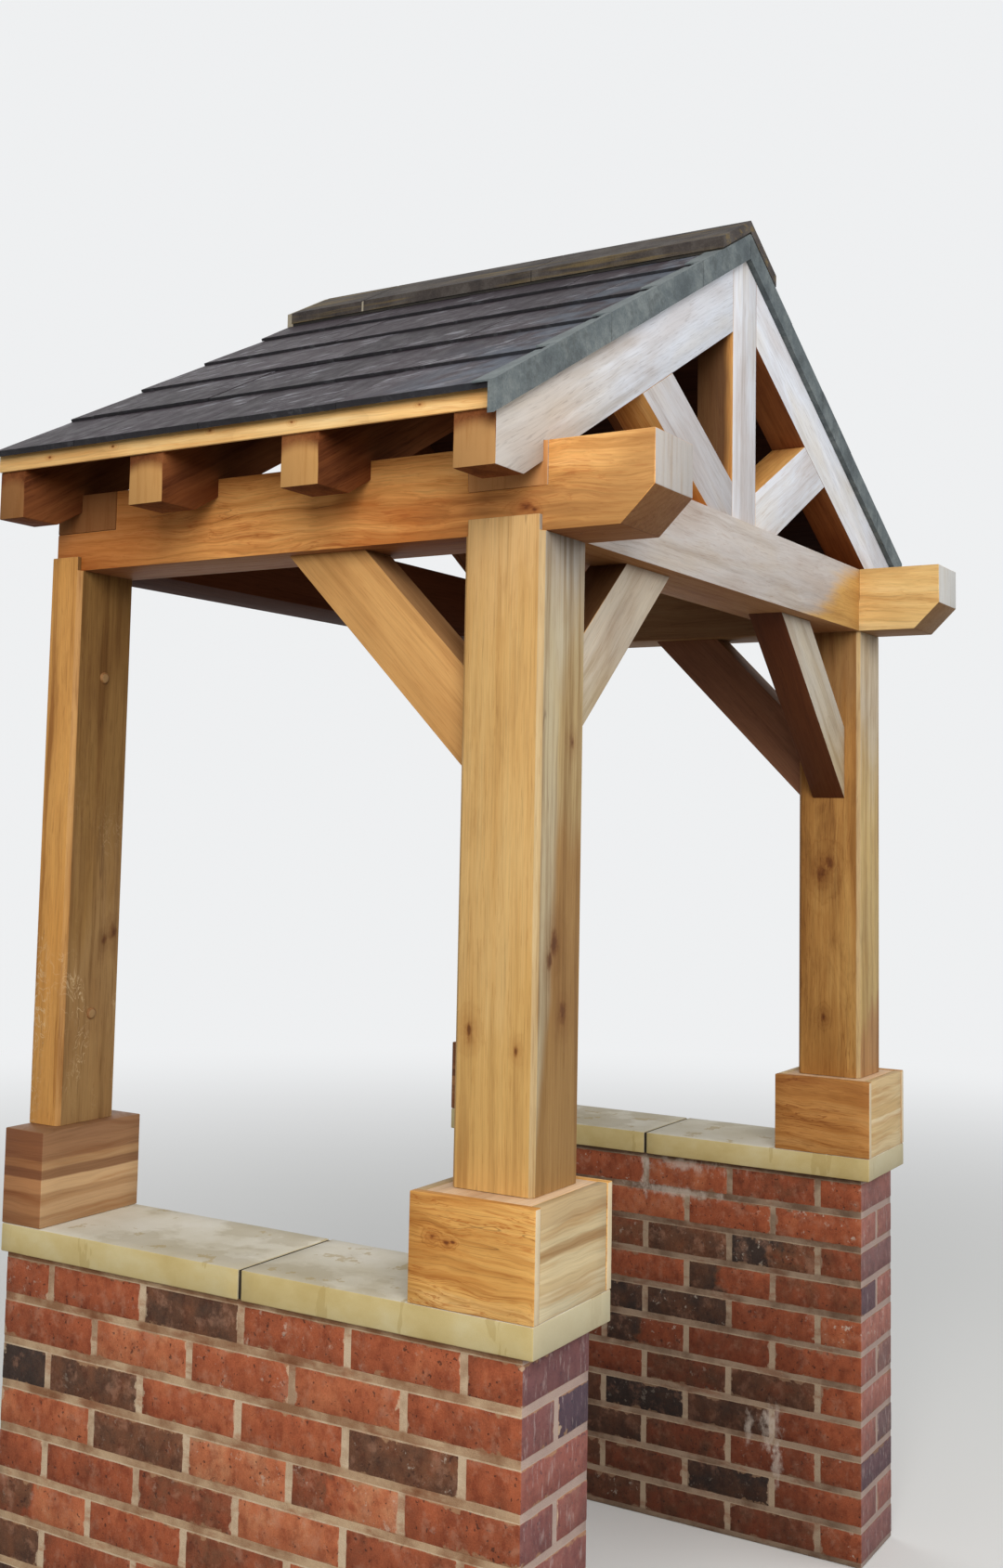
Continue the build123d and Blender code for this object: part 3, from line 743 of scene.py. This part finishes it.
# Base blocks at the front: side boards running past a front board, a back board and a lid
CREAM_PLIES = [(0.0, (210, 194, 158)), (0.24, (192, 168, 126)), (0.34, (204, 183, 142)),
    (0.52, (174, 146, 104)), (0.62, (200, 178, 137)), (0.8, (182, 156, 115))]
WARM_PLIES = [(0.0, (214, 190, 146)), (0.2, (204, 176, 128)), (0.42, (218, 196, 156)), (0.5, (196, 164, 114)),
    (0.66, (210, 184, 138)), (0.84, (202, 174, 128))]
BROWN_PLIES = [(0.0, (168, 132, 94)), (0.14, (180, 144, 104)), (0.26, (166, 128, 88)),
    (0.36, (190, 154, 112)), (0.5, (130, 92, 60)), (0.6, (166, 128, 88)), (0.69, (142, 102, 68)),
    (0.86, (134, 95, 62))]


def front_block(side, hand, plies, tones, knots):
    """A front base block: side, front and back boards and a lid, with hair lines between."""
    node = f"{hand}_front_base_block"
    low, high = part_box(node)
    board, line = 0.018, 0.0004
    middle = (low + high) / 2
    face = wood(f"{hand}_block_board", (0, 1, 0.05), middle, tones, (0.16, 0.05), 0.0085, 5.1 + side,
        knots=knots, ends=(214, 198, 166), lines=1.8, figure=1.7)
    strips = laminated(f"{hand}_block_plies", low.z, high.z, plies, 1.7 * side)
    lid = wood(f"{hand}_block_lid", (1, 0, 0), middle, HONEY, (0.05, 0.12), 0.013, 2.2 + side,
        [(UP, (222, 191, 158), 0.85)], ends=(206, 182, 146))
    heap = Heap()
    heap.block(low, (low.x + board, high.y, high.z), 0.0018, 0.04, 0.0005, 3)
    heap.block((high.x - board, low.y, low.z), high, 0.0018, 0.04, 0.0005, 4)
    x0, x1 = low.x + board + line, high.x - board - line
    heap.block((x0, low.y + 0.0004, low.z), (x1, low.y + board, high.z), 0.0016, 0.04, 0.0005, 5, slot=1)
    heap.block((x0, high.y - board, low.z), (x1, high.y - 0.0004, high.z), 0.0016, 0.04, 0.0005, 6, slot=1)
    heap.block((x0, low.y + board + line, high.z - board), (x1, high.y - board - line, high.z - 0.0006),
        0.0014, 0.04, 0.0004, 7, slot=2)
    piece(f"{hand}_front_block_boards", heap.mesh("boards"), [face, strips, lid], (node,))


front_block(-1, "left", CREAM_PLIES, BLOND, [(-0.888, -0.312, 1.03, 0.006), (-0.888, -0.338, 1.024, 0.005),
    (-0.888, -0.35, 1.026, 0.003)])
front_block(1, "right", WARM_PLIES, ((158, 100, 48), (190, 132, 70), (206, 154, 92)), [])
for side, hand in SIDES:
    node, name = f"{hand}_wall_base_block", f"{hand}_wall_block_plies"
    low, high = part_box(node)
    plies = laminated(name, low.z, high.z, BROWN_PLIES, 3.3 * side, (226, 196, 174))
    worn(node, name, plies, "oak_block", 0.0022, 0.04, 0.0006, 8)


def oak(node, ease, *looks, **more):
    """An eased CAD piece in its own cut of oak."""
    eased(f"{node}_oak", node, wood(f"oak_{node}", *looks, **more), ease)


# Posts
X_POST = 0.756
LEFT_CORNER = (-DIAGONAL, -DIAGONAL, 0)
# Left front post: the front darker brown low down and, as painted sky reflection, paler and greyer upwards,
# with a pale strip by its left edge; the left side lighter low down and at the top
oak("left_front_post", 0.0012, UP, (-X_POST, -0.38, 1.6), CALM, (0.02, 0.034), 0.0125, 1.3,
    [(FRONT, (132, 98, 57), 0.75), (FRONT, (178, 158, 118), 0.8, 2, 1.84, 1.62),
    (FRONT, (184, 171, 142), 0.8, (1, 0, -0.1), -0.955, -0.925),
    (FRONT, (168, 163, 155), 0.88, 2, 2.12, 1.94), (LEFT_CORNER, (192, 172, 134), 0.7),
    (LEFT, (212, 170, 100), 0.5, 2, 1.3, 1.6), (LEFT, (220, 182, 130), 0.5, 2, 2.15, 1.95)],
    [(-0.83, -0.336, 1.345, 0.012), (-0.83, -0.425, 1.32, 0.007), (-0.776, -0.46, 1.49, 0.017),
    (-0.788, -0.46, 1.461, 0.012), (-0.743, -0.46, 1.376, 0.013), (-0.725, -0.46, 1.814, 0.009)], checks=0.35,
    lines=0.35, figure=0.15, smoke=0.15, streaky=0.75)
# Right front post: the front pale as painted sky reflection, greyer at the top and darker low down; the left
# side darker at the top as painted shade
oak("right_front_post", 0.0012, UP, (X_POST, -0.38, 1.6), UMBER, (-0.04, 0.02), 0.012, 4.9,
    [(FRONT, (196, 176, 126), 0.7), (FRONT, (190, 182, 170), 0.6, 2, 1.95, 1.7),
    (FRONT, (168, 112, 72), 0.6, 2, 1.2, 1.32), (LEFT_CORNER, (196, 176, 136), 0.6),
    (LEFT, (136, 100, 64), 0.6, 2, 2.05, 1.85)],
    [(0.682, -0.366, 1.574, 0.021), (0.682, -0.386, 1.598, 0.014), (0.682, -0.371, 1.233, 0.009)], checks=0.5,
    figure=0.8, smoke=0.35, streaky=0.6)
# Wall posts: the fronts dark as painted shade, less so low down; the left post's left side lighter
for side, hand in SIDES:
    oak(f"{hand}_wall_post", 0.0012, UP, (side * X_POST, 0.62, 1.6), UMBER if side < 0 else BROWN,
        (0.06, -0.03), 0.010, 7.7 + side, [(LEFT, (212, 156, 86), 0.85 if side < 0 else 0.0),
        (FRONT, (116, 88, 50), 0.75), (FRONT, (158, 124, 80), 0.8, 2, 1.4, 1.8),
        (LEFT_CORNER, (204, 156, 98), 0.6)], [(side * 0.704, 0.579, 1.454, 0.012),
        (side * 0.729, 0.579, 1.439, 0.008)], checks=0.4, figure=0.6, smoke=0.4, flecks=0.6, streaky=0.8)

# Plates and tie beams
# Eaves plates: the chamfer, the underside and the inner side but for its front end dark, as painted shade;
# the outer side darker towards the front end, and redder and darker towards the rear as painted shade; the
# pale grey front ends are painted sky reflection
for side, hand in SIDES:
    oak(f"{hand}_eaves_plate", 0.002, (0, 1, 0.03), (side * 0.75, 0.0, 2.23),
        AMBER if side < 0 else ((206, 160, 98), (228, 188, 122), (240, 206, 146)), (0.13, 0.05), 0.0095,
        2.4 * side, [((0, -DIAGONAL, -DIAGONAL), (101, 67, 46), 0.85), (DOWN, (112, 66, 42), 0.75),
        ((-side, 0, 0), (104, 66, 46), 0.85, 1, -0.33, -0.43),
        ((side, 0, 0), (174, 128, 74), 0.8, 1, -0.6, -0.35),
        ((side, 0, 0), (184, 104, 42), 0.7, 1, 0.5, 0.2)],
        ends=(172, 173, 172) if side < 0 else (196, 198, 198), back_ends=(150, 104, 64),
        knots=[(-0.82, -0.42, 2.196, 0.009), (-0.82, -0.435, 2.19, 0.005)] if side < 0 else [],
        lines=1.2 if side < 0 else 0.9, checks=0.6, figure=1.3 if side < 0 else 0.8)
# Front tie beam: the left part of its front pale as painted sky reflection; its underside and back dark as
# painted shade
oak("front_tie_beam", 0.002, (1, 0, 0), (0, -0.38, 2.23), GOLD, (0.10, 0.09), 0.011, 6.2,
    [(FRONT, (208, 168, 98), 0.65), (FRONT, (194, 188, 185), 0.95, (1, 0, -1.9), -3.82, -3.68),
    (DOWN, (132, 84, 56), 0.7), (BACK, (96, 58, 38), 0.8)], ends=(198, 138, 84), figure=0.9)
# Wall tie beam: the shaded tone, its front and underside darker still, as painted shade
oak("wall_tie_beam", 0.002, (1, 0, 0), (0, 0.58, 2.23), SHADED, (0.06, 0.09), 0.012, 8.2,
    [(FRONT, (76, 38, 20), 0.95), (DOWN, (64, 34, 20), 0.95)], ends=(150, 100, 60), figure=0.8)

# Front truss: its front sides pale as painted sky reflection, its backs and inner sides dark as painted shade
INNER_SHADE = (120, 74, 44)
# King post: its left side dark towards the back, as painted shade
oak("king_post", 0.0018, UP, (0, -0.41, 2.5), GOLD, (0.04, 0.06), 0.010, 9.4,
    [(FRONT, PALE_SHEEN, 0.95), (BACK, INNER_SHADE, 0.8), (LEFT, (82, 52, 34), 0.9, 1, -0.432, -0.455)], checks=0.3)
for side, hand in SIDES:
    down = (side, 0, -SLOPE)
    # Front rafters: the front pale as painted sky reflection, less so towards the left rafter's foot
    oak(f"{hand}_front_rafter", 0.0018, down, (side * 0.5, -0.41, 2.55), SHADED, (0.06, 0.05), 0.011,
        10.6 + side, [(FRONT, (225, 229, 237), 0.95), (FRONT, (195, 188, 180), 0.9, 0, -0.75, -0.45)],
        ends=(186, 140, 88), butt=0.82, checks=0.3, lines=0.6, streaky=0.12)
    # Struts: the left one's front greyer and darker than the right one's, as painted shade
    oak(f"{hand}_strut", 0.0018, (side, 0, SLOPE), (side * 0.25, -0.41, 2.45), GOLD, (0.05, 0.07), 0.010,
        12.1 + side, [(FRONT, PALE_SHEEN if side > 0 else (187, 187, 191), 0.95), (BACK, INNER_SHADE, 0.8)], checks=0.3)
    # Tie braces: the front pale as painted sky reflection, browner towards the foot; what faces up or down to
    # the left dark, as painted shade; the right brace in a darker cut
    oak(f"{hand}_tie_brace", 0.0018, (side, 0, -1), (side * 0.55, -0.3825, 2.0), GOLD if side < 0 else BROWN,
        (0.07, 0.05), 0.011, 14.3 + side,
        [(FRONT, (194, 188, 174), 0.85), (FRONT, (176, 156, 120), 0.7, 2, 1.86, 1.98),
        ((-DIAGONAL, 0, DIAGONAL), (74, 46, 30), 0.9), ((-DIAGONAL, 0, -DIAGONAL), (85, 40, 14), 0.9)],
        [(0.60, -0.40, 1.92, 0.012)] if side > 0 else [], checks=0.3, figure=0.8, smoke=0.4)
    # Plate braces: the inner sides and the upper side dark as painted shade; the left brace's left side
    # lighter; the right brace in a darker cut
    oak(f"{hand}_plate_brace", 0.0018, (0, -1, -1), (side * 0.75, -0.15, 2.0), CALM if side < 0 else BROWN,
        (0.07, 0.05), 0.011, 16.7 + side, [((-side, 0, 0), (144, 98, 74) if side > 0 else INNER_SHADE, 0.85),
        (LEFT, (204, 151, 90), 0.7 if side < 0 else 0.0), ((0, -DIAGONAL, DIAGONAL), (146, 106, 72), 0.8)],
        checks=0.4, lines=0.5 if side < 0 else 1.0, figure=0.2 if side < 0 else 0.8,
        smoke=0.1 if side < 0 else 0.5)

# Rafters, ridge board, boarding and eaves boards
for side, hand in SIDES:
    down = (side, 0, -SLOPE)
    # Inner rafters: dark sides as painted shade, the wall rafters' ends darker still as painted shade
    for k, place in enumerate(("second", "third", "wall")):
        oak(f"{hand}_{place}_rafter", 0.0018, down, (side * 0.5, 0.1 + 0.2 * k, 2.55), SHADED, (0.06, 0.05),
            0.010, 20.3 + 2 * k + side, ends=(198, 150, 92) if place != "wall" else (146, 102, 62), butt=0.82,
            checks=0.4)
# Ridge board: dark as painted shade
oak("ridge_board", 0.0015, BACK, (0, 0.1, 2.78), DEEP_SHADE, (0.05, 0.06), 0.010, 31.0, ends=(104, 70, 46))

# The roof: where the rafters' tops would meet, the rafters' and tiles' ends from the middle, a course's
# height on plan and a tile's width, then what lies above the rafters' tops, square to the slope
APEX, TAIL_END, TILE_END, GAUGE, TILE_WIDTH = 2.861, 0.968, 0.991, 0.18975, 0.298
BOARD, TILE_TOP, VERGE_TOP = 0.018, 0.0435, 0.0465
TILE_THICK, FIRST_TILE_THICK, COURSE_DROP = 0.0058, 0.0100, 0.006
ROOF_FRONT, VERGE_FRONT = -0.4505, -0.4635


def roof(x, lift=0.0):
    """Height of the line that lies 'lift' above the rafters, square to the slope, at this |x|."""
    return APEX - SLOPE * x + lift * SECANT


class Sheets:
    """Slabs that follow a roof slope, gathered into one mesh."""

    def __init__(self, side):
        self.side, self.bm = side, bmesh.new()
        self.layers = {n: self.bm.verts.layers.float.new(n) for n in ("tone", "edge")}

    def slab(self, x0, x1, y0, y1, top0, top1, thick, tone, slot=0, ragged=0.0, cuts=(1, 1), under=0.0):
        """A slab from x0 (its nose) up the slope to x1. top0 and top1 are its top's lifts there.

        ragged is how far the nose is chipped, and under how far its lower edge stands out below.
        """
        last_k, last_m = cuts
        top, low = [], []
        for k in range(last_k + 1):
            t = k / last_k
            row = []
            for m in range(last_m + 1):
                y = y0 + (y1 - y0) * m / last_m
                wave = noise.noise(Vector((tone * 31 + x0 * 9, y * 23, k * 0.7)))
                x = x0 + (x1 - x0) * t
                if k == 0:
                    x -= ragged * (0.5 + 0.5 * noise.noise(Vector((y * 70, tone * 17, x0 * 5))))
                row.append((x, y, top0 + (top1 - top0) * t - ragged * 0.3 * (0.5 + 0.5 * wave)))
            top.append([self.vert(x, y, lift, tone, 0.0 if k else 1.0) for x, y, lift in row])
            low.append([self.vert(x - (0.0 if k else under), y, lift - thick, tone, 1.0)
                for x, y, lift in row])
        faces = []
        for k in range(last_k):
            for m in range(last_m):
                faces.append((top[k][m], top[k + 1][m], top[k + 1][m + 1], top[k][m + 1]))
                faces.append((low[k][m], low[k][m + 1], low[k + 1][m + 1], low[k + 1][m]))
        for m in range(last_m):
            faces.append((top[0][m], top[0][m + 1], low[0][m + 1], low[0][m]))
            faces.append((top[last_k][m], low[last_k][m], low[last_k][m + 1], top[last_k][m + 1]))
        for k in range(last_k):
            faces.append((top[k][0], low[k][0], low[k + 1][0], top[k + 1][0]))
            faces.append((top[k][last_m], top[k + 1][last_m], low[k + 1][last_m], low[k][last_m]))
        for loop in faces:
            self.bm.faces.new(loop).material_index = slot

    def vert(self, x, y, lift, tone, edge):
        made = self.bm.verts.new((self.side * x, y, roof(x, lift)))
        made[self.layers["tone"]], made[self.layers["edge"]] = tone, edge
        return made

    def done(self, name, ease, materials, stands_for):
        bevel(self.bm, 35, ease, 1)
        piece(name, smooth_mesh(name, self.bm, 38), materials, stands_for)


UNDERLAY = concrete("roof_underlay", (34, 32, 34), (42, 40, 42), (52, 50, 52), (60, 58, 58), 0.4)
VERGE = concrete("verge_cloak", (80, 87, 90), (97, 105, 107), (117, 124, 124), (72, 77, 78), 0.55, 240,
    (24, 12, 24), ((134, 140, 140), 0.45))
for side, hand in SIDES:
    # Close boarding under the tiles, in seven boards with V joints, dark as painted shade
    boards = Sheets(side)
    last = TAIL_END - 0.014
    for k in range(7):
        a, b = last - (last - 0.002) * k / 7, last - (last - 0.002) * (k + 1) / 7
        boards.slab(a, b + 0.0006, ROOF_FRONT, WALL_Y, BOARD, BOARD, BOARD, k * 0.13)
    boards.done(f"{hand}_sarking_boards", 0.0026,
        [wood(f"boarding_{hand}", BACK, (side * 0.5, 0.1, 2.6), DEEP_SHADE, (0.3, 0.12), 0.010, 33.0 + side,
        ends=(110, 76, 50))], (f"{hand}_sarking",))

    # Eaves board: pale softwood, with a knotty face
    knots = [(side * 0.974, y, 2.345 + 0.004 * math.sin(9 * y), 0.003)
        for y in (-0.31, -0.05, 0.13, 0.36, 0.52)]
    eased(f"{hand}_eaves_board_pine", f"{hand}_eaves_board", wood(f"pine_{hand}_eaves_board", (0, 1, 0.01),
        (side * 0.965, 0.1, 2.345), PINE, (0.02, 0.03), 0.006, 35.0 + side, knots=knots, ends=(198, 156, 100),
        lines=0.9), 0.002)

    # Tiles, laid course by course in broken bond
    tiles = Sheets(side)
    tiles.slab(TILE_END - 0.078, 0.004, ROOF_FRONT + 0.002, WALL_Y - 0.001, 0.0235, 0.0235, 0.0052, 0.5, 1)
    for course in range(5):
        nose = TILE_END - GAUGE * course
        head = nose - GAUGE - 0.055 if course < 4 else 0.012
        drop = COURSE_DROP * (nose - head) / GAUGE if course < 4 else 0.0
        y = ROOF_FRONT - (TILE_WIDTH * 0.5 if course % 2 else 0.0)
        while y < WALL_Y - 0.002:
            a, b = max(y, ROOF_FRONT) + 0.0006, min(y + TILE_WIDTH, WALL_Y) - 0.0006
            y += TILE_WIDTH
            if b - a < 0.01:
                continue
            tone = rng.random()
            lower = rng.uniform(0.0, 0.0012)
            tiles.slab(nose - rng.uniform(0.0, 0.0016), head, a, b, TILE_TOP - lower, TILE_TOP - drop - lower,
                TILE_THICK if course else FIRST_TILE_THICK, tone, 0, 0.0014, (10, 10), 0.002)
    tiles.done(f"{hand}_slate_tiles", 0.0012, [slate(side), UNDERLAY], (f"{hand}_roof_tiles",))

    # Verge: one cloaking unit to each course, its flange lapping the tiles
    verge = Sheets(side)
    for course in range(5):
        nose = (TILE_END if course else TILE_END + 0.004) - GAUGE * course
        head = TILE_END - GAUGE * (course + 1) if course < 4 else 0.0
        upper = VERGE_TOP - (COURSE_DROP if course < 4 else 0.0)
        out = 0.0006 * (course % 2)
        verge.slab(nose, head + 0.0012, VERGE_FRONT + out, VERGE_FRONT + 0.0125, VERGE_TOP,
            VERGE_TOP - 0.0002, VERGE_TOP, 0.2 * course, cuts=(6, 2), ragged=0.0006)
        verge.slab(nose - 0.0004, head + 0.0004, VERGE_FRONT + 0.0127, VERGE_FRONT + 0.042,
            VERGE_TOP - 0.0001, upper, 0.0029, 0.2 * course, cuts=(6, 3))
    verge.done(f"{hand}_verge_units", 0.0011, [VERGE], (f"{hand}_verge",))

# Ridge: three angular tiles bedded in mortar
RIDGE = concrete("ridge_concrete", (53, 48, 46), (69, 62, 58), (85, 79, 74), (112, 95, 62), 0.8, 300,
    (30, 2.2, 60))
BEDDING = mortar("ridge_mortar", (40, 38, 36), (58, 54, 48))
LIME_END = mortar("ridge_end_mortar", (158, 148, 128), (186, 176, 156))


def ridge_slab(bm, y0, y1, leg, low, top, slot, cuts=4):
    """An angular cap across the ridge: both legs, from 'low' to 'top' above the rafters."""
    outline = [(-leg, low), (-leg, top), (0.0, top), (leg, top), (leg, low), (0.0, low)]
    rings = []
    for k in range(cuts + 1):
        y = y0 + (y1 - y0) * k / cuts
        rings.append([bm.verts.new((x, y, roof(abs(x), lift))) for x, lift in outline])
    for a, b in zip(rings, rings[1:]):
        for n in range(6):
            bm.faces.new((a[n], a[(n + 1) % 6], b[(n + 1) % 6], b[n])).material_index = slot
    for ring in (rings[0], rings[-1]):
        bm.faces.new((ring[0], ring[1], ring[2], ring[5])).material_index = slot
        bm.faces.new((ring[5], ring[2], ring[3], ring[4])).material_index = slot


# Where the three ridge tiles meet. The last one ends a little short of the wall
RIDGE_ENDS = (VERGE_FRONT, -0.0135, 0.4365, WALL_Y - 0.012)
bm = bmesh.new()
for a, b in zip(RIDGE_ENDS, RIDGE_ENDS[1:]):
    ridge_slab(bm, a + (0.0012 if a > VERGE_FRONT else 0.0), b - (0.004 if b == RIDGE_ENDS[2] else 0.0012),
        0.139, 0.05, 0.0715, 0)
bevel(bm, 20, 0.003, 2)
ridge_slab(bm, VERGE_FRONT + 0.003, WALL_Y - 0.0125, 0.1365, 0.0436, 0.0499, 1)
for joint, slot in zip(RIDGE_ENDS[1:3], (1, 2)):
    ridge_slab(bm, joint - 0.006, joint + 0.004, 0.1385, 0.0502, 0.07, slot, 1)
ridge_slab(bm, WALL_Y - 0.0155, WALL_Y, 0.138, 0.0436, 0.0706, 2, 1)
piece("ridge_tiles_bedded", smooth_mesh("ridge_tiles_bedded", bm, 35), [RIDGE, BEDDING, LIME_END],
    ("ridge_tiles",))


def peg(name, x, y, z, radius, material):
    """Domed oak plug in a post's face, looking towards -Y."""
    bm = bmesh.new()
    rings = []
    for depth, share in ((0.004, 1.0), (-0.0022, 1.0), (-0.0036, 0.88), (-0.0044, 0.6), (-0.0047, 0.25)):
        ring = []
        for k in range(24):
            a = math.tau * k / 24
            ragged = 1 + 0.025 * math.sin(3 * a + x * 40)
            ring.append(bm.verts.new((x + radius * share * ragged * math.cos(a), y + depth,
                z + radius * share * ragged * math.sin(a))))
        rings.append(ring)
    for a, b in zip(rings, rings[1:]):
        for k in range(24):
            bm.faces.new((a[k], a[(k + 1) % 24], b[(k + 1) % 24], b[k]))
    bm.faces.new(rings[-1])
    bm.faces.new(rings[0][::-1])
    piece(name, smooth_mesh(name, bm, 60), [material], ())


PLUG = wood("oak_plug", (0, 1, 0.1), (0, 0.58, 1.6), BROWN, (0.004, 0.006), 0.004, 41.0, ends=(150, 118, 78))
for side, hand in SIDES:
    for level, z in (("upper", 1.95), ("lower", 1.30)):
        peg(f"{hand}_{level}_plug", side * X_POST, 0.579, z, 0.011, PLUG)


# Floor: pale and plain, with the backdrop's tone taking over far out, so that no horizon shows
BACKDROP = (0.86, 0.87, 0.88, 1.0)
s = Shade("pale_floor")
s.finish((238, 237, 234), 0.9, shine=0.2)
far = s.span(s.vector("LENGTH", s.stretch(s.place, (1, 1, 0))), 2.6, 9.0)
shown = s.make("MixShader", {0: far, 1: s.lit, 2: s.make("Emission", {"Color": BACKDROP})})
dull = s.make("BsdfDiffuse", {"Color": (150, 148, 144)})
s.feed(s.output.inputs[0], s.make("MixShader", {0: s.seen(), 1: dull, 2: shown}))
bpy.ops.mesh.primitive_circle_add(vertices=96, radius=120, fill_type="NGON", location=(0, 0, -0.0005))
floor = bpy.context.object
floor.name = "floor"
floor.data.materials.append(s.material)
floor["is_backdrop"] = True

world = bpy.data.worlds.new("studio")
scene.world = world
world.use_nodes = True
sky = Nodes(world.node_tree)
light = sky.make("Background", {"Color": (0.94, 0.97, 1.0, 1.0), "Strength": 0.34})
shown = sky.make("Background", {"Color": BACKDROP})
sky.feed(sky.node("OutputWorld").inputs[0], sky.make("MixShader", {0: sky.seen(), 1: light, 2: shown}))


def softbox(name, place, aim, width, height, power, colour=(1, 1, 1)):
    """A large soft light at a place, aimed at a point."""
    data = bpy.data.lights.new(name, "AREA")
    data.shape, data.size, data.size_y = "RECTANGLE", width, height
    data.energy, data.color = power, colour
    made = added(name, data)
    made.location = place
    made.rotation_euler = (Vector(aim) - Vector(place)).to_track_quat("-Z", "Y").to_euler()


softbox("key", (-5.5, -3.6, 4.6), (0, 0, 1.5), 4.5, 4.5, 405, (1.0, 0.985, 0.96))
softbox("left", (-6.5, 0.6, 2.2), (0, 0, 1.6), 3.5, 2.5, 14, (1.0, 0.99, 0.97))
softbox("front", (1.5, -6.5, 3.6), (0, 0, 1.6), 4.5, 3.5, 165, (0.96, 0.98, 1.0))
softbox("rear", (3.5, 5.5, 5.0), (0, 0, 1.8), 4.0, 4.0, 70)

# Camera: where the photograph was taken from, found from about 150 matched points, lengths in its pixels
PHOTO_HEIGHT, FOCAL, SHIFT_X, SHIFT_Y = 1689, 1769.99, -30.08, -111.3
STAND = Vector((-3.09723, -1.785, 1.68006))
YAW, TILT, ROLL = 1.03458, 0.08649, 0.01734
ahead = Vector((math.sin(YAW) * math.cos(TILT), math.cos(YAW) * math.cos(TILT), math.sin(TILT)))
level = Vector((math.cos(YAW), -math.sin(YAW), 0))
above = level.cross(ahead)
right = level * math.cos(ROLL) + above * math.sin(ROLL)
up = above * math.cos(ROLL) - level * math.sin(ROLL)
lens = bpy.data.cameras.new("camera")
lens.sensor_width = 36.0
lens.lens = FOCAL / PHOTO_HEIGHT * lens.sensor_width
lens.shift_x, lens.shift_y = SHIFT_X / PHOTO_HEIGHT, SHIFT_Y / PHOTO_HEIGHT
camera = added("camera", lens)
camera.matrix_world = Matrix.Translation(STAND) @ Matrix((right, up, -ahead)).transposed().to_4x4()
scene.camera = camera

scene.view_settings.view_transform = "Standard"
low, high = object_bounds()
